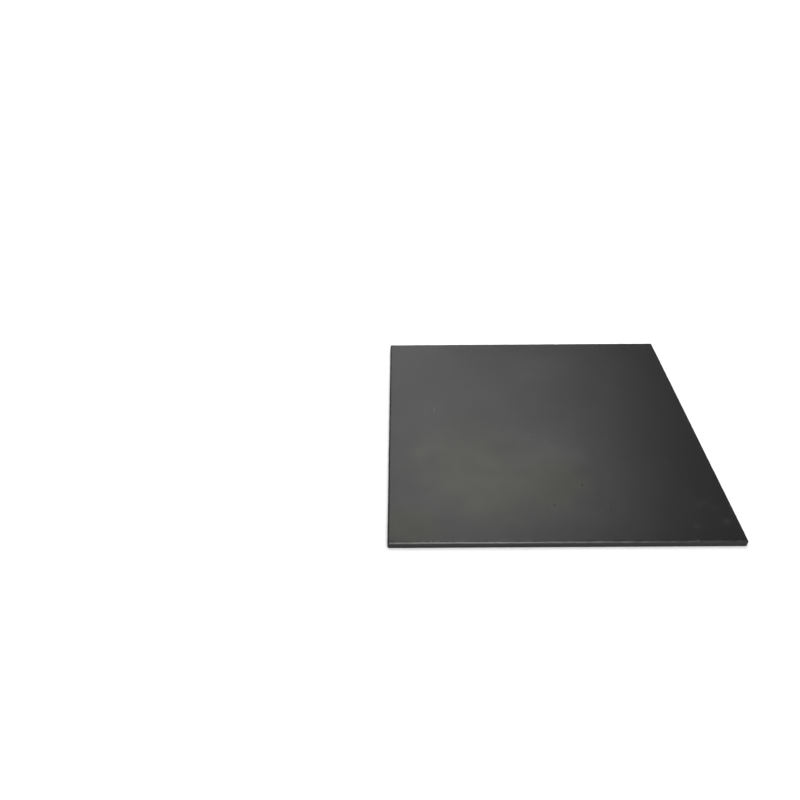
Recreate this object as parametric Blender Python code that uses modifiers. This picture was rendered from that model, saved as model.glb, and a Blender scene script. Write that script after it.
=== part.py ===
"""One protective rubber floor tile, pressed in a mould as a single piece.

The tile is a square slab that lies flat and is centred on the origin, with its underside at
height zero. Its four upright corners are rounded in plan, a 45 degree chamfer runs round the top
face, and every remaining arris is slightly softened, as rubber leaves a mould. The underside is
flat, so that the tile can't rock, and below the chamfer the sides are straight and upright.
"""

import math

import bmesh
import bpy

# Driving dimensions, in metres.
SIDE = 1.000
THICKNESS = 0.020
TOP_CHAMFER = 0.004
CORNER_RADIUS = 0.006
ARRIS_RADIUS = 0.0008

# How finely the round stretches are divided.
CORNER_SEGMENTS = 6
ARRIS_SEGMENTS = 2

# Only arrises turn this sharply: a chamfer turns 45 degrees, a facet of a corner 15 degrees.
SHARPEST_SMOOTH_ANGLE = math.radians(30)

RUBBER_COLOUR = (0.028, 0.028, 0.028, 1.0)
RUBBER_ROUGHNESS = 0.5

# Two heights or places closer than this are the same one.
SAME = 1e-6


def clear_scene():
    """Removes whatever the scene holds."""
    for obj in list(bpy.data.objects):
        bpy.data.objects.remove(obj, do_unlink=True)


def make_rubber():
    """Black rubber with a satin moulded skin."""
    rubber = bpy.data.materials.new("moulded_rubber")
    rubber.use_nodes = True
    shader = rubber.node_tree.nodes["Principled BSDF"]
    shader.inputs["Base Color"].default_value = RUBBER_COLOUR
    shader.inputs["Roughness"].default_value = RUBBER_ROUGHNESS
    shader.inputs["Metallic"].default_value = 0.0
    return rubber


def is_upright(edge):
    """True for an edge that runs straight up from the underside to the top face."""
    low, high = edge.verts
    return math.hypot(low.co.x - high.co.x, low.co.y - high.co.y) < SAME


def is_top_rim(edge, top):
    """True for an edge between the top face and a side."""
    return all(abs(vertex.co.z - top) < SAME for vertex in edge.verts)


def round_the_corners(mesh_data):
    """Rounds the four upright corners in plan."""
    corners = [edge for edge in mesh_data.edges if is_upright(edge)]
    bmesh.ops.bevel(
        mesh_data,
        geom=corners,
        offset=CORNER_RADIUS,
        segments=CORNER_SEGMENTS,
        profile=0.5,
        affect="EDGES",
    )


def chamfer_the_top(mesh_data, top):
    """Cuts the flat 45 degree chamfer round the top face."""
    rim = [edge for edge in mesh_data.edges if is_top_rim(edge, top)]
    bmesh.ops.bevel(
        mesh_data,
        geom=rim,
        offset=TOP_CHAMFER,
        segments=1,
        affect="EDGES",
    )


def soften_the_arrises(tile):
    """Takes the sharpness off both sides of the chamfer and off the lower edge."""
    soft = tile.modifiers.new("softened_arrises", "BEVEL")
    soft.limit_method = "ANGLE"
    soft.angle_limit = SHARPEST_SMOOTH_ANGLE
    soft.width = ARRIS_RADIUS
    soft.segments = ARRIS_SEGMENTS


def build_tile(collection, rubber):
    """The whole tile: one pressed slab."""
    half_thickness = THICKNESS / 2
    bpy.ops.mesh.primitive_cube_add(size=1.0, location=(0.0, 0.0, half_thickness))
    tile = bpy.context.object
    tile.name = tile.data.name = "rubber_tile"
    tile.scale = (SIDE, SIDE, THICKNESS)
    bpy.ops.object.transform_apply(location=False, rotation=False, scale=True)

    mesh_data = bmesh.new()
    mesh_data.from_mesh(tile.data)
    round_the_corners(mesh_data)
    chamfer_the_top(mesh_data, top=half_thickness)
    mesh_data.to_mesh(tile.data)
    mesh_data.free()

    soften_the_arrises(tile)
    tile.data.materials.append(rubber)
    tile.data.shade_smooth()
    tile.data.set_sharp_from_angle(angle=SHARPEST_SMOOTH_ANGLE)

    for owner in list(tile.users_collection):
        owner.objects.unlink(tile)
    collection.objects.link(tile)
    return tile


def main():
    clear_scene()
    collection = bpy.data.collections.new("protective_floor_tile")
    bpy.context.scene.collection.children.link(collection)
    build_tile(collection, make_rubber())


main()
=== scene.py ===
# %% [markdown]
# A protective floor tile
#
# The real thing is one slab of black rubber, pressed in a heated steel mould. It comes out with a satin
# skin on top, a chamfer round the top face, softened arrises, and the small faults of pressing: shallow
# waves, pinholes where air was caught, and scraps of flash. This lesson dresses the measured slab with
# that skin. The first step loads the slab, because every later size is taken from it, and keeps its box.
# All sizes are in metres.

import math
import random
from collections import namedtuple

import bmesh
import bpy
from mathutils import Matrix, Vector
from mathutils.kdtree import KDTree


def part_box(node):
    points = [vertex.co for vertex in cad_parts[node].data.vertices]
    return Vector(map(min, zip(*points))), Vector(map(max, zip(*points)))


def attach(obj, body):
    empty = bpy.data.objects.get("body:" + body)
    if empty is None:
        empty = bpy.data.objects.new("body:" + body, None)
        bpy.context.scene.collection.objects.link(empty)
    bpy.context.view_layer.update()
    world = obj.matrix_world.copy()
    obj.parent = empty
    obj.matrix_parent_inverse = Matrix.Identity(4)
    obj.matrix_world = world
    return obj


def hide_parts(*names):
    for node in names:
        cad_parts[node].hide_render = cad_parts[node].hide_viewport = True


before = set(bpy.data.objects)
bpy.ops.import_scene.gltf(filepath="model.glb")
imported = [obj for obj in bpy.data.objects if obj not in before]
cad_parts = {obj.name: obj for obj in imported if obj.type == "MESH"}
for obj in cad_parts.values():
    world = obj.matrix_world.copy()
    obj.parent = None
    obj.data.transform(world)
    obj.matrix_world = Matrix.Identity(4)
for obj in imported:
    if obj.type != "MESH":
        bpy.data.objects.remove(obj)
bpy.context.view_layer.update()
slab_low, slab_high = (Vector(corner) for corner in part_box("rubber_tile"))
SIDE = slab_high.x - slab_low.x
THICKNESS = slab_high.z - slab_low.z
print("The frame holds", *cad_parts)
print(f"The slab is {SIDE * 1000:.0f} mm square and {THICKNESS * 1000:.0f} mm thick")

# %% [markdown]
# The camera
#
# A photograph taken from standing height shows the tile from in front and slightly from its left. A
# camera could be aimed with a Track To constraint, but its roll would then be lost, so its turn is
# built from three plain rotations: roll about its own axis, tilt, and heading.

# %% Set up the camera
CAMERA_PLACE = Vector((-0.456, -1.882, 1.578))
CAMERA_TILT_DOWN = math.radians(37.47)
CAMERA_HEADING = math.radians(0.22)
CAMERA_ROLL = math.radians(-0.49)
CAMERA_LENS_MM = 33.3
SENSOR_MM = 36.0


def add_camera():
    """A camera that looks along +Y and down at the tile."""
    lens = bpy.data.cameras.new("camera")
    lens.lens = CAMERA_LENS_MM
    lens.sensor_width = SENSOR_MM
    camera = bpy.data.objects.new("camera", lens)
    bpy.context.scene.collection.objects.link(camera)
    heading = Matrix.Rotation(CAMERA_HEADING, 4, "Z")
    tilt = Matrix.Rotation(math.radians(90) - CAMERA_TILT_DOWN, 4, "X")
    roll = Matrix.Rotation(CAMERA_ROLL, 4, "Z")
    camera.matrix_world = Matrix.Translation(CAMERA_PLACE) @ heading @ tilt @ roll
    return camera


bpy.context.scene.camera = add_camera()
print("The camera stands", round(CAMERA_PLACE.length, 2), "m from the middle of the tile")

# %% [markdown]
# The floor
#
# Black rubber shows almost nothing of its own colour: what the eye reads is a soft reflection of the
# studio. So the studio matters more than the paint, and the floor is half of it. One coat of white would
# do for the picture, but so much light would come back from it that the tile's dark sides would glow. So
# the floor gets two coats, a white one that the camera sees and a grey one that lights the tile.

# %% Lay the floor
FLOOR_SIZE = 60.0
FLOOR_DROP = 0.0001
FLOOR_SEEN = 0.9
FLOOR_REFLECTED = 0.40


def add_material(name):
    """A new material and its Principled shader."""
    material = bpy.data.materials.new(name)
    material.use_nodes = True
    return material, material.node_tree.nodes["Principled BSDF"]


def switch_for_camera(tree, seen, reflected, output):
    """Joins two shaders to an output: one for what the camera sees, one for all other rays."""
    path = tree.nodes.new("ShaderNodeLightPath")
    switch = tree.nodes.new("ShaderNodeMixShader")
    amount, other_rays, camera_rays = switch.inputs
    tree.links.new(path.outputs["Is Camera Ray"], amount)
    tree.links.new(reflected, other_rays)
    tree.links.new(seen, camera_rays)
    tree.links.new(switch.outputs["Shader"], output)


def add_floor():
    """A wide, matt, pale floor just under the tile."""
    bpy.ops.mesh.primitive_plane_add(size=FLOOR_SIZE, location=(0, 0, -FLOOR_DROP))
    plane = bpy.context.object
    plane.name = "studio_floor"
    paint, glossy_shader = add_material("pale_floor_paint")
    tree = paint.node_tree
    tree.nodes.remove(glossy_shader)
    coats = []
    for grey in (FLOOR_SEEN, FLOOR_REFLECTED):
        coat = tree.nodes.new("ShaderNodeBsdfDiffuse")
        coat.inputs["Color"].default_value = (grey, grey, grey, 1)
        coats.append(coat.outputs["BSDF"])
    switch_for_camera(tree, *coats, tree.nodes["Material Output"].inputs["Surface"])
    plane.data.materials.append(paint)
    return plane


floor = add_floor()
print(f"The floor is {FLOOR_SIZE:.0f} m wide and lies {FLOOR_DROP * 1000:.1f} mm under the tile")

# %% [markdown]
# The light
#
# A bright even sky would be the simplest light, but black rubber shows its shape only by what it
# reflects. So a large panel beyond the tile draws the sheen that fades to the right, a low one fills it
# near the far edge, and one behind the camera lights the front chamfer. A wide lamp overhead keeps the
# floor pale. It would flatten the sheen, and the rear panel would brighten the floor, so the lamp is
# flagged off the tile and the rear panel off the floor, which Blender does with light linking. The lamp
# and the panels are hidden from the camera.

# %% Hang the soft lights
WHITE = (1, 1, 1, 1)
AMBIENT = 0.10
BACKDROP = 1.0
OVERHEAD_PLACE = (0, 0, 4)
OVERHEAD_STRENGTH = 3.3
OVERHEAD_SPREAD = math.radians(95)


def add_lamp(name, kind, place, strength):
    """A lamp of a kind at a place, hidden from the camera."""
    light = bpy.data.lights.new(name, kind)
    light.energy = strength
    lamp = bpy.data.objects.new(name, light)
    bpy.context.scene.collection.objects.link(lamp)
    lamp.location = place
    lamp.visible_camera = False
    return lamp


def add_panel(name, place, width, height, brightness):
    """A soft panel that faces the tile. Brightness is that of its surface, where 1 is paper white."""
    lamp = add_lamp(name, "AREA", place, brightness * math.pi * width * height)
    lamp.data.shape = "RECTANGLE"
    lamp.data.size = width
    lamp.data.size_y = height
    lamp.rotation_euler = (-Vector(place)).to_track_quat("-Z", "Y").to_euler()
    return lamp


def flag(lamp, obj, shade_it):
    """Lets a lamp light only obj, or with shade_it everything but obj."""
    group = bpy.data.collections.new(lamp.name + "_flags")
    group.objects.link(obj)
    if shade_it:
        group.collection_objects[0].light_linking.link_state = "EXCLUDE"
    lamp.light_linking.receiver_collection = group


def set_world():
    """A dim even surround that lights the tile, and a white one that the camera sees."""
    world = bpy.data.worlds.new("studio")
    bpy.context.scene.world = world
    world.use_nodes = True
    tree = world.node_tree
    dim = tree.nodes["Background"]
    white = tree.nodes.new("ShaderNodeBackground")
    for background, strength in ((dim, AMBIENT), (white, BACKDROP)):
        background.inputs["Color"].default_value = WHITE
        background.inputs["Strength"].default_value = strength
    surface = tree.nodes["World Output"].inputs["Surface"]
    switch_for_camera(tree, white.outputs["Background"], dim.outputs["Background"], surface)


set_world()
overhead = add_lamp("overhead_lamp", "SUN", OVERHEAD_PLACE, OVERHEAD_STRENGTH)
overhead.data.angle = OVERHEAD_SPREAD
flag(overhead, floor, shade_it=False)
add_panel("far_panel", place=(0.11, 3.6, 3.86), width=2.7, height=2.17, brightness=3.7)
add_panel("low_far_panel", place=(-0.54, 2.6, 0.45), width=0.8, height=0.9, brightness=3.1)
rear = add_panel("rear_panel", place=(0.1, -3.6, 2.6), width=1.3, height=2.5, brightness=14.0)
flag(rear, floor, shade_it=True)
bpy.context.scene.view_settings.view_transform = "Standard"
print(len(bpy.data.lights), "lights hang in the studio")

# %% [markdown]
# Picking parts of a mesh
#
# Modelling operators act on whatever is selected, as they do for a person at the screen. A script can't
# point, so it picks vertices, edges or faces by a test of their place or direction. These helpers do
# that for the whole lesson.

# %% Write the picking helpers
SAME = 1e-5
NEARLY_UPRIGHT = 0.2
NEARLY_LEVEL = 0.9


def only(obj):
    """Makes obj the one selected and active object, in object mode."""
    if bpy.context.object and bpy.context.object.mode != "OBJECT":
        bpy.ops.object.mode_set(mode="OBJECT")
    bpy.ops.object.select_all(action="DESELECT")
    obj.select_set(True)
    bpy.context.view_layer.objects.active = obj


def pick(obj, kind, wanted):
    """Opens obj in edit mode with just the wanted vertices, edges or faces selected."""
    only(obj)
    bpy.ops.object.mode_set(mode="EDIT")
    bpy.ops.mesh.select_mode(type=kind)
    bpy.ops.mesh.select_all(action="DESELECT")
    mesh = bmesh.from_edit_mesh(obj.data)
    elements = {"VERT": mesh.verts, "EDGE": mesh.edges, "FACE": mesh.faces}[kind]
    chosen = [element for element in elements if wanted(element)]
    for element in chosen:
        element.select_set(True)
    mesh.select_flush_mode()
    bmesh.update_edit_mesh(obj.data)
    return len(chosen)


def leave_edit_mode():
    """Goes back to object mode, which writes the edits into the mesh."""
    bpy.ops.object.mode_set(mode="OBJECT")


def is_side(face):
    """A face that stands upright, or nearly so."""
    return abs(face.normal.z) < NEARLY_UPRIGHT


def is_underside(face):
    """A face that looks down at the floor."""
    return face.normal.z < -NEARLY_LEVEL


# %% [markdown]
# The slab
#
# The real slab is a plain square that fills its mould. A box would do for the outline, but its top would
# be one flat face that can't wave. So the slab starts as a fine grid as large as the tile, and the whole
# grid is extruded upwards by the thickness. The underside needs no grid, because it lies flat on the
# floor, so its faces are dissolved into one.

# %% Extrude the slab from a grid
CELLS = 160


def add_slab():
    """A closed slab whose top is a grid and whose underside is one face."""
    bpy.ops.object.select_all(action="DESELECT")
    bpy.ops.mesh.primitive_grid_add(
        x_subdivisions=CELLS,
        y_subdivisions=CELLS,
        size=SIDE,
        location=(0, 0, slab_low.z),
    )
    slab = bpy.context.object
    slab.name = slab.data.name = "rubber_slab"
    only(slab)
    bpy.ops.object.mode_set(mode="EDIT")
    bpy.ops.mesh.select_all(action="SELECT")
    bpy.ops.mesh.extrude_region_move(TRANSFORM_OT_translate={"value": (0, 0, THICKNESS)})
    bpy.ops.mesh.select_all(action="SELECT")
    bpy.ops.mesh.normals_make_consistent(inside=False)
    pick(slab, "FACE", is_underside)
    bpy.ops.mesh.dissolve_faces()
    leave_edit_mode()
    return slab


slab = add_slab()
print("The slab starts with", len(slab.data.polygons), "faces")

# %% [markdown]
# The corners, the chamfer and the arrises
#
# A mould has no knife edges. The edges could be rounded by one Bevel modifier, but each kind has a size of
# its own. The upright corners are rounded first, then the chamfer is cut round the top, and last every
# arris that is left is softened. In this order each bevel meets clean edges. The sides also get a few
# level cuts, so that they can be uneven later.

# %% Bevel the edges
CORNER_RADIUS = 0.006
CORNER_SEGMENTS = 8
CHAMFER = 0.004
CHAMFER_FOOT = THICKNESS - CHAMFER
ARRIS_RADIUS = 0.0008
ARRIS_SEGMENTS = 3
SIDE_CUTS = (0.004, 0.008, 0.012)
SHARP = math.radians(30)


def is_upright_corner(edge):
    """An edge of the full thickness where two sides meet."""
    low, high = edge.verts
    upright = (low.co.xy - high.co.xy).length < SAME
    return upright and min(abs(low.co.x), abs(low.co.y)) > SIDE / 2 - SAME


def is_top_rim(edge):
    """An edge where the top face meets a side."""
    at_top = all(abs(vertex.co.z - THICKNESS) < SAME for vertex in edge.verts)
    return at_top and any(is_side(face) for face in edge.link_faces)


corners = pick(slab, "EDGE", is_upright_corner)
bpy.ops.mesh.bevel(offset=CORNER_RADIUS, segments=CORNER_SEGMENTS, affect="EDGES")
for cut in SIDE_CUTS:
    bpy.ops.mesh.select_all(action="SELECT")
    bpy.ops.mesh.bisect(plane_co=(0, 0, cut), plane_no=(0, 0, 1))
rim = pick(slab, "EDGE", is_top_rim)
bpy.ops.mesh.bevel(offset=CHAMFER, segments=1, affect="EDGES")
bpy.ops.mesh.select_all(action="DESELECT")
bpy.ops.mesh.edges_select_sharp(sharpness=SHARP)
bpy.ops.mesh.bevel(offset=ARRIS_RADIUS, segments=ARRIS_SEGMENTS, affect="EDGES")
leave_edit_mode()
print(f"{corners} corners rounded, {rim} rim edges chamfered, {len(slab.data.polygons)} faces")

# %% [markdown]
# Where the faults of pressing go
#
# Air and grit in the mould leave dents and nibs in the skin, a drag mark, and scraps of flash along the
# upper edge of the chamfer. A pale painted highlight lies beside some of them, on the side that catches
# the light. The faults could be painted as bump, but they catch the light as real shapes, so they are
# listed here, to be pulled from the mesh later. The larger ones are set where the photograph shows them.

# %% List the given faults
TOP_HALF = SIDE / 2 - CHAMFER

# A fault's place on the top, its radius, and its height, which is below zero for a dent. The last value
# is how far its painted highlight, a pale patch on the side that catches the light, lies from it along X
# and Y and how much there is, or None where it has none.
Fault = namedtuple("Fault", "x y radius height powder")

PLACED_FAULTS = [
    Fault(-0.245, 0.430, 0.0060, 0.0016, (0.000, -0.006, 0.7)),
    Fault(-0.414, 0.233, 0.0050, -0.0006, (0.000, 0.001, 0.8)),
    Fault(-0.279, 0.053, 0.0050, -0.0006, None),
    Fault(0.084, -0.275, 0.0042, -0.0013, (0.002, -0.001, 1.0)),
    Fault(0.023, 0.207, 0.0050, -0.0007, (0.000, 0.003, 0.8)),
    Fault(0.307, 0.223, 0.0050, -0.0006, None),
    Fault(-0.014, -0.359, 0.0045, -0.0006, (-0.003, -0.002, 0.6)),
    Fault(0.143, -0.378, 0.0050, 0.0004, None),
    Fault(0.039, -0.071, 0.0050, -0.0005, None),
    Fault(-0.218, 0.364, 0.0035, 0.0005, None),
    Fault(-0.344, -0.270, 0.0035, -0.0004, None),
    Fault(-0.211, -0.395, 0.0035, 0.0004, (0.000, 0.000, 0.4)),
]

# The drag mark is a row of low nibs that runs away from the front.
DRAG_X = -0.348
DRAG_START_Y = 0.086
DRAG_STEP = 0.004
DRAG_NIBS = 6
DRAG_MARK = [
    Fault(DRAG_X, DRAG_START_Y + DRAG_STEP * nib, 0.0030, 0.0003, (0.000, 0.000, 0.45))
    for nib in range(DRAG_NIBS)
]
print(len(PLACED_FAULTS), "faults set by hand, and a drag mark of", DRAG_NIBS, "nibs")

# %% [markdown]
# The flash and the small faults
#
# Flash is the thin skin of rubber that creeps out at a mould's joint, and when it is torn off, ragged
# scraps of it stay. Each scrap could be a piece of its own, but it is part of the slab, so it is a row of
# small pulls whose heights differ. The smallest pinholes and nibs are too many to set by hand, so they
# are scattered all over the top. Both draw their numbers from fixed seeds, the same ones each time.

# %% Tear the flash and scatter the small faults
# Where each scrap of flash starts along the front arris, and how long it is.
FLASH_SCRAPS = [
    (-0.402, 0.006),
    (-0.381, 0.004),
    (-0.362, 0.007),
    (-0.340, 0.003),
    (-0.328, 0.006),
    (-0.216, 0.003),
    (0.360, 0.003),
]
FLASH_STEP = 0.0015
FLASH_RADIUS = 0.0022
FLASH_HEIGHTS = (0.0003, 0.0008)
# A pale painted highlight on each scrap, a little towards the front.
FLASH_HIGHLIGHT = (0.000, -0.0005, 0.6)
FLASH_SEED = 3

SCATTERED = 40
SCATTER_SEED = 7
SCATTER_MARGIN = 0.01
SCATTER_RADII = (0.0015, 0.003)
SCATTER_STEEPNESS = (0.15, 0.35)
DENT, NIB = -1, 1


def tear_flash():
    """Thin scraps of flash, each a row of small pulls with random heights."""
    dice = random.Random(FLASH_SEED)
    pulls = []
    for start, length in FLASH_SCRAPS:
        for step in range(round(length / FLASH_STEP)):
            height = dice.uniform(*FLASH_HEIGHTS)
            x = start + step * FLASH_STEP
            pulls.append(Fault(x, -TOP_HALF, FLASH_RADIUS, height, FLASH_HIGHLIGHT))
    return pulls


def scatter_faults():
    """Small pinholes and nibs all over the top, each with a random size, two dents to a nib."""
    dice = random.Random(SCATTER_SEED)
    reach = TOP_HALF - SCATTER_MARGIN
    scattered = []
    for _ in range(SCATTERED):
        x, y = dice.uniform(-reach, reach), dice.uniform(-reach, reach)
        radius = dice.uniform(*SCATTER_RADII)
        height = dice.choice((DENT, DENT, NIB)) * dice.uniform(*SCATTER_STEEPNESS) * radius
        scattered.append(Fault(x, y, radius, height, None))
    return scattered


faults = PLACED_FAULTS + DRAG_MARK + tear_flash() + scatter_faults()
print(len(faults), "faults in all")

# %% [markdown]
# Enough vertices where they are needed
#
# A dent 5 mm across can't be pulled from cells of 6 mm. A finer grid all over would do, but it would
# waste nearly a million faces on plain skin. So only the cells round each fault are subdivided, and the
# sides a little, so that the rim can be uneven.

# %% Split the cells at the faults and the sides
FAULT_CUTS = 5
FAULT_MARGIN = 0.003
SIDE_SPLITS = 2


def holds_a_fault(face):
    """True for a face of the top or the chamfer that a fault reaches."""
    centre = face.calc_center_median()
    if centre.z < CHAMFER_FOOT:
        return False
    return any(
        max(abs(centre.x - fault.x), abs(centre.y - fault.y)) < fault.radius + FAULT_MARGIN
        for fault in faults
    )


split = pick(slab, "FACE", is_side)
bpy.ops.mesh.subdivide(number_cuts=SIDE_SPLITS)
split += pick(slab, "FACE", holds_a_fault)
bpy.ops.mesh.subdivide(number_cuts=FAULT_CUTS)
leave_edit_mode()
print(f"{split} faces were split, and the slab has {len(slab.data.polygons)}")

# %% [markdown]
# The waves and the uneven rim
#
# Thick rubber shrinks a little as it cools, so the top has shallow waves and no edge is quite straight.
# Both could be pulled by hand, but a Displace modifier spreads them evenly. It moves each vertex along a
# cloud texture, as far as the vertex's weight in a vertex group allows. The weights fade out before the
# underside, which has to stay flat on the floor.

# %% Wave the top and the rim
WAVE_LENGTH = 0.10
WAVE_HEIGHT = 0.0009
WAVE_FADE = 0.04
RIM_WAVE_LENGTH = 0.022
RIM_WAVE_SHIFT = 0.0013
RIM_DEPTH = 0.006
STRAIGHT_FOOT = 0.001
MIDDLE_GREY = 0.5


def ramp(value, start, end):
    """Zero up to start, one from end on, and even between them."""
    return min(1.0, max(0.0, (value - start) / (end - start)))


def inside_rim(place):
    """How far a place lies in from the upper edge of the chamfer."""
    return TOP_HALF - max(abs(place.x), abs(place.y))


def top_weight(place):
    """One on the top, fading out towards its rim."""
    return ramp(inside_rim(place), 0, WAVE_FADE) if place.z > THICKNESS - SAME else 0


def rim_weight(place):
    """One on the chamfer, fading inwards on the top and downwards on the sides."""
    inwards = 1 - ramp(inside_rim(place), 0, RIM_DEPTH)
    return inwards * ramp(place.z, STRAIGHT_FOOT, CHAMFER_FOOT)


def displace(obj, name, weight_at, length, amount, direction):
    """Pushes vertices along a cloud texture, as far as their weights allow."""
    group = obj.vertex_groups.new(name=name)
    for vertex in obj.data.vertices:
        group.add([vertex.index], weight_at(vertex.co), "REPLACE")
    clouds = bpy.data.textures.new(name, "CLOUDS")
    clouds.cloud_type = "COLOR"
    clouds.noise_scale = length
    push = obj.modifiers.new(name, "DISPLACE")
    push.texture = clouds
    push.vertex_group = name
    push.direction = direction
    push.strength = amount
    push.mid_level = MIDDLE_GREY
    only(obj)
    bpy.ops.object.modifier_apply(modifier=name)
    obj.vertex_groups.clear()


displace(slab, "top_waves", top_weight, WAVE_LENGTH, WAVE_HEIGHT, "Z")
displace(slab, "rim_waves", rim_weight, RIM_WAVE_LENGTH, RIM_WAVE_SHIFT, "RGB_TO_XYZ")
heights = [v.co.z for v in slab.data.vertices if inside_rim(v.co) > 0 and v.co.z > THICKNESS / 2]
print(f"The top lies between {min(heights) * 1000:.2f} and {max(heights) * 1000:.2f} mm")

# %% [markdown]
# Pressing in the faults
#
# The faults could be cut with small spheres, but a dent in rubber has no sharp edge. So each is one pull
# with proportional editing: the nearest vertex is grabbed and moved up or down, and its neighbours
# follow, less and less, out to the fault's radius. A k-d tree finds the nearest vertex quickly.

# %% Pull each fault into shape
places = KDTree(len(slab.data.vertices))
for vertex in slab.data.vertices:
    places.insert(vertex.co, vertex.index)
places.balance()


def pull(obj, fault):
    """Grabs the vertex nearest to a fault and moves it, with its neighbours following."""
    _, index, _ = places.find((fault.x, fault.y, THICKNESS))
    bpy.ops.mesh.select_all(action="DESELECT")
    mesh = bmesh.from_edit_mesh(obj.data)
    mesh.verts.ensure_lookup_table()
    mesh.verts[index].select_set(True)
    bpy.ops.transform.translate(
        value=(0, 0, fault.height),
        use_proportional_edit=True,
        proportional_edit_falloff="SMOOTH",
        proportional_size=fault.radius,
    )


# Opens the slab in edit mode with nothing selected.
pick(slab, "VERT", lambda vertex: False)
for fault in faults:
    pull(slab, fault)
leave_edit_mode()
print(len(faults), "faults pulled into the skin")

# %% [markdown]
# The release powder
# Painted highlights and release powder
# A mould is dusted so that the rubber lets go of it, and a little of the pale powder stays on the tile,
# in a few soft smears. Beside the faults and the scraps of flash the same pale colour is a painted
# highlight, on the side that catches the light. It could be a noise in the material, but then it would
# lie anywhere. So each vertex keeps a number, from none to one, which the material will read.

# %% Store the painted highlights and the release powder
# How far the painted highlight beside a fault reaches.
HIGHLIGHT_REACH = 0.004

# Smears of powder that lie by themselves: middle, how far each reaches, and how much there is of it.
SMEARS = [
    (0.408, -0.356, 0.018, 0.14),
    (0.428, -0.350, 0.018, 0.14),
    (0.446, -0.372, 0.018, 0.10),
    (0.463, -0.426, 0.018, 0.25),
    (0.375, -0.442, 0.016, 0.20),
    (0.361, -0.498, 0.012, 0.16),
    (-0.045, -0.040, 0.010, 0.20),
]


def store_pale_marks(obj, heaps):
    """Keeps how much pale colour lies at each vertex, from none to one: painted highlights at the faults
    and powder in the smears.
    """
    powder = obj.data.attributes.new("powder", "FLOAT", "POINT").data
    for x, y, reach, amount in heaps:
        for _, index, distance in places.find_range((x, y, THICKNESS), reach):
            powder[index].value = max(powder[index].value, amount * (1 - distance / reach))


# The pale patches beside the faults are painted highlights; the smears are powder.
heaps = []
for fault in faults:
    if fault.powder:
        shift_x, shift_y, amount = fault.powder
        heaps.append((fault.x + shift_x, fault.y + shift_y, HIGHLIGHT_REACH, amount))
store_pale_marks(slab, heaps + SMEARS)
print(len(heaps), "faults hold powder, and", len(SMEARS), "smears lie by themselves")

# %% [markdown]
# The rubber
#
# Carbon black makes the rubber almost as dark as coal, and the mould gives its top a satin skin. One dark
# shader would look like plastic, so patterns are laid over it, one in each step that follows. Nodes on
# Object coordinates place them all in metres, so that each has its real size on every face. The tree has
# over a hundred nodes, so a small class adds and links them with one short call each.

# %% Mix the rubber
COAL = (0.0130, 0.0130, 0.0130, 1)
SKIN_ROUGHNESS = 0.395

# The colour sockets of a Mix node: what it mixes, and what comes out.
FIRST_COLOUR, SECOND_COLOUR, MIXED_COLOUR = 6, 7, 2


class Recipe:
    """A material's node tree, with short calls for the nodes that this lesson uses."""

    def __init__(self, material):
        self.tree = material.node_tree
        self.place = self.tree.nodes.new("ShaderNodeTexCoord").outputs["Object"]

    def add(self, kind, *inputs, **settings):
        """A new node with its settings, and its first inputs linked or set."""
        node = self.tree.nodes.new(kind)
        for name, value in settings.items():
            setattr(node, name, value)
        for socket, value in zip(node.inputs, inputs):
            self.feed(socket, value)
        return node

    def feed(self, socket, value):
        """Links a socket to another one, or sets its value. None leaves it alone."""
        if isinstance(value, bpy.types.NodeSocket):
            self.tree.links.new(value, socket)
        elif value is not None:
            socket.default_value = value

    def math(self, operation, *inputs):
        """One sum, product or comparison."""
        return self.add("ShaderNodeMath", *inputs, operation=operation).outputs[0]

    def stretch(self, value, low, high, to_low, to_high):
        """Maps low to high onto to_low to to_high, and holds it there beyond them."""
        return self.add("ShaderNodeMapRange", value, low, high, to_low, to_high).outputs[0]

    def soft_stretch(self, value, *limits):
        """The same, with soft ends."""
        node = self.add("ShaderNodeMapRange", value, *limits, interpolation_type="SMOOTHERSTEP")
        return node.outputs[0]

    def noise(self, size, detail, shift=0.0, roughness=0.5):
        """Cloudy noise whose clouds are about size across. A shift picks another part of it."""
        mapped = self.add("ShaderNodeMapping", self.place, (shift, shift, 0))
        place = mapped.outputs[0]
        return self.add("ShaderNodeTexNoise", place, None, 1 / size, detail, roughness).outputs[0]

    def mix_colour(self, amount, first, second):
        """The first colour where amount is zero, the second where it is one."""
        node = self.add("ShaderNodeMix", data_type="RGBA")
        self.feed(node.inputs["Factor"], amount)
        self.feed(node.inputs[FIRST_COLOUR], first)
        self.feed(node.inputs[SECOND_COLOUR], second)
        return node.outputs[MIXED_COLOUR]


rubber, shader = add_material("black_rubber")
mix = Recipe(rubber)
print("The rubber is ready for its patterns")

# %% [markdown]
# Bloom, painted sheen and wax
#
# Oils and waxes creep to the surface of rubber and dry there as bloom: soft neutral patches, a little
# paler and shinier than the bare skin. The same patches also paint sheen into the colour, paler where
# the sheen is bright and darker where it is dim. Noise alone would put them anywhere, so the patches are
# listed over faint clouds, and mottling breaks up their edges. A stain of wax, slightly brown, lies over
# them near the front left.

# %% Cloud the skin and paint its sheen
# The pale tone of bloom, which the patches also use as painted sheen.
BLOOM_AND_SHEEN_TONE = (0.0185, 0.0184, 0.0181, 1)
WAX = (0.0198, 0.0208, 0.0090, 1)

# Most of a noise lies between these two values.
NOISE_LOW, NOISE_HIGH = 0.3, 0.7

CLOUD_SIZE = 0.20
CLOUD_DETAIL = 4.0
CLOUD_ROUGHNESS = 0.5
CLOUD_SHIFT = 21.5
CLOUD_STRENGTH = 0.6
MOTTLE_SIZE = 0.08
MOTTLE_DETAIL = 6.0
MOTTLE_ROUGHNESS = 0.65
MOTTLE_SHIFT = 18.0
MOTTLE_STRENGTH = 1.0
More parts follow.
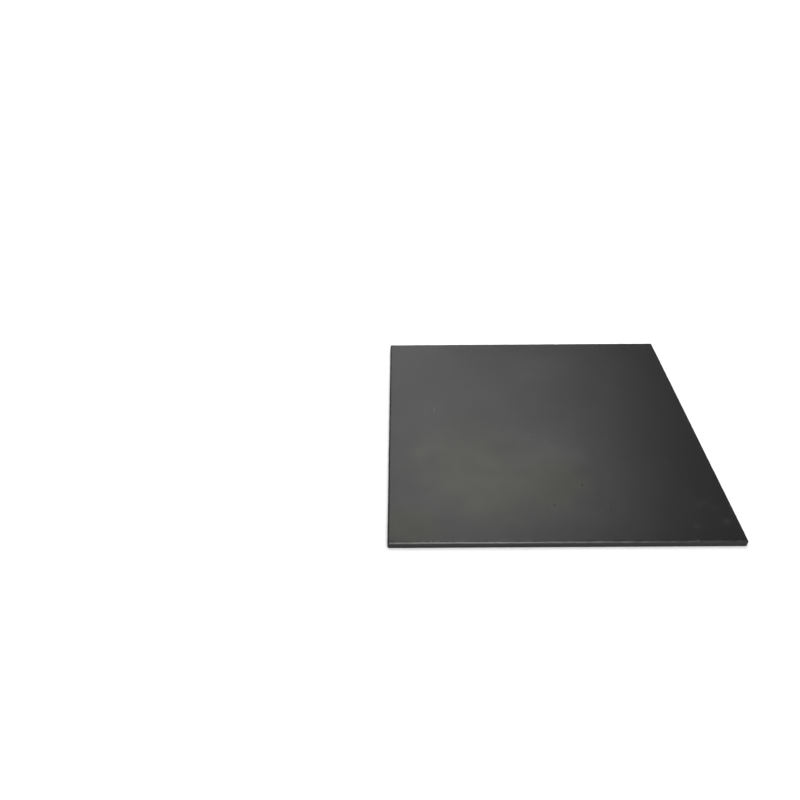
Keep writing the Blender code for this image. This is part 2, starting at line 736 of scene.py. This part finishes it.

# Each patch of bloom and painted sheen: the middle of it on the top, how far it reaches, and how strong
# it is, which is below zero where the skin is barer and the painted sheen darker than elsewhere.
BLOOM_AND_SHEEN_PATCHES = [
    (-0.24, -0.23, 0.26, 0.8),
    (0.06, -0.14, 0.12, 1.1),
    (0.27, -0.33, 0.26, 2.3),
    (0.52, 0.25, 0.20, -2.0),
    (0.52, -0.05, 0.20, -1.5),
    (-0.12, -0.47, 0.22, -1.2),
    (-0.31, -0.48, 0.16, -0.8),
    (0.05, -0.48, 0.12, -0.7),
    (0.01, 0.11, 0.20, -1.3),
    (0.15, 0.18, 0.16, -0.9),
    (-0.22, 0.05, 0.18, -0.8),
    (0.02, 0.36, 0.18, 1.5),
    (-0.11, 0.44, 0.12, 1.0),
]
PATCH_BLUR = 0.18

# Each part of the wax stain: its middle and how far it reaches.
WAX_STAINS = [(-0.25, -0.16, 0.27), (-0.20, -0.27, 0.24), (-0.02, -0.26, 0.18), (-0.43, -0.43, 0.12)]
WAX_STRENGTH = 1.6
WAX_COVER = 0.85


def swing(noise, strength):
    """The noise as it swings about zero, as far as strength either way."""
    return mix.stretch(noise, NOISE_LOW, NOISE_HIGH, -strength, strength)


def patch(x, y, reach, amount):
    """A soft patch on the top, whose edge is broken up by the mottling."""
    from_middle = mix.add("ShaderNodeVectorMath", mix.place, (x, y, THICKNESS), operation="DISTANCE")
    ragged = mix.math("MULTIPLY_ADD", mottled, PATCH_BLUR * reach, from_middle.outputs["Value"])
    return mix.soft_stretch(ragged, reach, 0.0, 0.0, amount)


cloud_noise = mix.noise(CLOUD_SIZE, CLOUD_DETAIL, CLOUD_SHIFT, CLOUD_ROUGHNESS)
clouds_and_sheen = swing(cloud_noise, CLOUD_STRENGTH)
mottle_noise = mix.noise(MOTTLE_SIZE, MOTTLE_DETAIL, MOTTLE_SHIFT, MOTTLE_ROUGHNESS)
mottled = swing(mottle_noise, MOTTLE_STRENGTH)
# The patches add bloom and painted sheen to the clouds.
for bloom_and_sheen_patch in BLOOM_AND_SHEEN_PATCHES:
    clouds_and_sheen = mix.math("ADD", clouds_and_sheen, patch(*bloom_and_sheen_patch))
waxy = patch(*WAX_STAINS[0], WAX_STRENGTH)
for stain in WAX_STAINS[1:]:
    waxy = mix.math("MAXIMUM", waxy, patch(*stain, WAX_STRENGTH))
waxy = mix.math("MULTIPLY", mix.math("MINIMUM", waxy, 1.0), WAX_COVER)
print(len(BLOOM_AND_SHEEN_PATCHES), "patches of bloom, and a wax stain of", len(WAX_STAINS), "parts")

# %% [markdown]
# The skin's colour and shine
#
# The same patterns now set both the colour and the roughness. A noise for each would be easier to tune,
# but on real rubber one cause makes both: where bloom lies, the skin is paler and also shinier. The
# patches also paint sheen into the colour, paler where it is bright and darker where it is dim.

# %% Colour and polish the skin
# How far the clouds and painted sheen go where the skin shows only coal, and where it shows only the
# pale tone of bloom and painted sheen.
BARE, FULL_BLOOM_AND_SHEEN = -1.0, 1.5
BLOOM_SHINE = 0.018
MOTTLE_DULLNESS = 0.016

# From coal to the pale tone: bloom, and painted sheen where the patches set it.
colour = mix.mix_colour(mix.stretch(clouds_and_sheen, BARE, FULL_BLOOM_AND_SHEEN, 0.0, 1.0), COAL, BLOOM_AND_SHEEN_TONE)
colour = mix.mix_colour(waxy, colour, WAX)
dullness = mix.math("MULTIPLY_ADD", clouds_and_sheen, -BLOOM_SHINE, SKIN_ROUGHNESS)
dullness = mix.math("MULTIPLY_ADD", mottled, MOTTLE_DULLNESS, dullness)
print("Clouds", CLOUD_SIZE, "m and mottling", MOTTLE_SIZE, "m across")

# %% [markdown]
# The sides and the arrises
#
# The sides are duller than the top, because the mould's walls rub them as the tile is lifted out, and
# they are painted a little paler, which is painted light on the sides. Handling polishes the arrises, in
# patches. Both could be materials of their own, but their borders would then be hard lines along faces,
# so masks blend them into the one rubber: height tells the sides from the rest, and the distance from
# the upper edge of the chamfer finds the arris.

# %% Roughen the sides and rub the arrises
# Paler than the top: painted light on the sides.
SIDE_TONE_WITH_PAINTED_LIGHT = (0.0236, 0.0234, 0.0226, 1)
SIDE_ROUGHNESS = 0.55
SIDE_BLEND = 0.0005
RUB_REACH = 0.003
RUBBED_TONE = (0.026, 0.026, 0.025, 1)
RUB_COVER = 0.5
RUB_SHINE = 0.06
RUB_PATCH_SIZE = 0.02
RUB_PATCH_DETAIL = 3.0
RUB_PATCH_SHIFT = 7.0
RUB_PATCH_LOW, RUB_PATCH_HIGH = 0.42, 0.62

axes = mix.add("ShaderNodeSeparateXYZ", mix.place).outputs
side = mix.stretch(axes["Z"], CHAMFER_FOOT + SIDE_BLEND, CHAMFER_FOOT - SIDE_BLEND, 0.0, 1.0)
sideways = mix.math("ABSOLUTE", axes["X"])
lengthways = mix.math("ABSOLUTE", axes["Y"])
outwards = mix.math("MAXIMUM", sideways, lengthways)
from_arris = mix.math("ABSOLUTE", mix.math("SUBTRACT", outwards, TOP_HALF))
rub_noise = mix.noise(RUB_PATCH_SIZE, RUB_PATCH_DETAIL, shift=RUB_PATCH_SHIFT)
rub_patches = mix.stretch(rub_noise, RUB_PATCH_LOW, RUB_PATCH_HIGH, 0.0, 1.0)
rubbed = mix.math("MULTIPLY", mix.stretch(from_arris, 0.0, RUB_REACH, 1.0, 0.0), rub_patches)
dullness = mix.math("ADD", dullness, mix.math("MULTIPLY", side, SIDE_ROUGHNESS - SKIN_ROUGHNESS))
dullness = mix.math("SUBTRACT", dullness, mix.math("MULTIPLY", rubbed, RUB_SHINE))
# Paints the sides paler, which is painted light.
colour = mix.mix_colour(side, colour, SIDE_TONE_WITH_PAINTED_LIGHT)
colour = mix.mix_colour(mix.math("MULTIPLY", rubbed, RUB_COVER), colour, RUBBED_TONE)
print("The arris is rubbed", RUB_REACH, "m either way")

# %% [markdown]
# The powder's colour
# The colour of the powder and the painted highlights
# The powder and the painted highlights are a pale warm grey. The number at each vertex says where they
# lie, but alone it would make an even haze, so a fine noise breaks it into grains.

# %% Lay the powder and the painted highlights
# Pale warm grey, for the powder and for the painted highlights at the faults.
POWDER_AND_HIGHLIGHT = (0.120, 0.117, 0.110, 1)
PALE_GRAIN = 0.002
PALE_GRAIN_DETAIL = 2.0
PALE_GRAIN_LOW, PALE_GRAIN_HIGH = 0.35, 0.6
PALE_GRAIN_LEAST = 0.3

powder = mix.add("ShaderNodeAttribute", attribute_name="powder").outputs["Fac"]
grainy = mix.noise(PALE_GRAIN, PALE_GRAIN_DETAIL)
patchy = mix.stretch(grainy, PALE_GRAIN_LOW, PALE_GRAIN_HIGH, PALE_GRAIN_LEAST, 1.0)
# Mixes in the pale grey: painted highlights at the faults, powder in the smears.
colour = mix.mix_colour(mix.math("MULTIPLY", powder, patchy), colour, POWDER_AND_HIGHLIGHT)
print("The powder has grains of", PALE_GRAIN * 1000, "mm")

# %% [markdown]
# The crumbs and the grain
#
# The mix is made of rubber crumbs, which show as fine relief and faint changes of tone, deeper on the
# sides than on the smooth top. A fine grain from the mould's steel lies over both. They are far too
# small to model, so a Bump node draws them from a Voronoi pattern and a noise.

# %% Press the crumbs and the grain
CRUMB_SIZE = 0.0024
CRUMB_DEPTH_TOP = 0.00002
CRUMB_DEPTH_SIDE = 0.00016
CRUMB_DARKEST = 0.85
CRUMB_CONTRAST = 0.3
GRAIN_SIZE = 0.0007
GRAIN_DETAIL = 2.0
GRAIN_DEPTH = 0.00002

crumbs = mix.add("ShaderNodeTexVoronoi", mix.place, None, 1 / CRUMB_SIZE, feature="SMOOTH_F1")
grain = mix.noise(GRAIN_SIZE, GRAIN_DETAIL)
crumb_depth = mix.stretch(side, 0.0, 1.0, CRUMB_DEPTH_TOP, CRUMB_DEPTH_SIDE)
crumb_relief = mix.math("MULTIPLY", crumbs.outputs["Distance"], crumb_depth)
relief = mix.math("MULTIPLY_ADD", grain, GRAIN_DEPTH, crumb_relief)
bump = mix.add("ShaderNodeBump")
mix.feed(bump.inputs["Strength"], 1.0)
mix.feed(bump.inputs["Distance"], 1.0)
mix.feed(bump.inputs["Height"], relief)
crumb_tone = mix.math("MULTIPLY_ADD", crumbs.outputs["Color"], CRUMB_CONTRAST, CRUMB_DARKEST)
colour = mix.add("ShaderNodeVectorMath", colour, crumb_tone, operation="MULTIPLY").outputs[0]
mix.feed(shader.inputs["Base Color"], colour)
mix.feed(shader.inputs["Roughness"], dullness)
mix.feed(shader.inputs["Normal"], bump.outputs["Normal"])
print("The rubber has", len(rubber.node_tree.nodes), "nodes")

# %% [markdown]
# Handing the slab over
#
# The faces are small, but flat shading would still show each of them on the waves. So they are shaded
# smooth, with hard edges only where two faces meet at a sharp angle. The dressed slab then takes the
# place of the measured one and rides on the same body.

# %% Put the rubber on
slab.data.materials.append(rubber)
only(slab)
bpy.ops.object.shade_smooth_by_angle(angle=SHARP)
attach(slab, "root")
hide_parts("rubber_tile")
slab.data.calc_loop_triangles()
print("The slab has", len(slab.data.loop_triangles), "triangles")
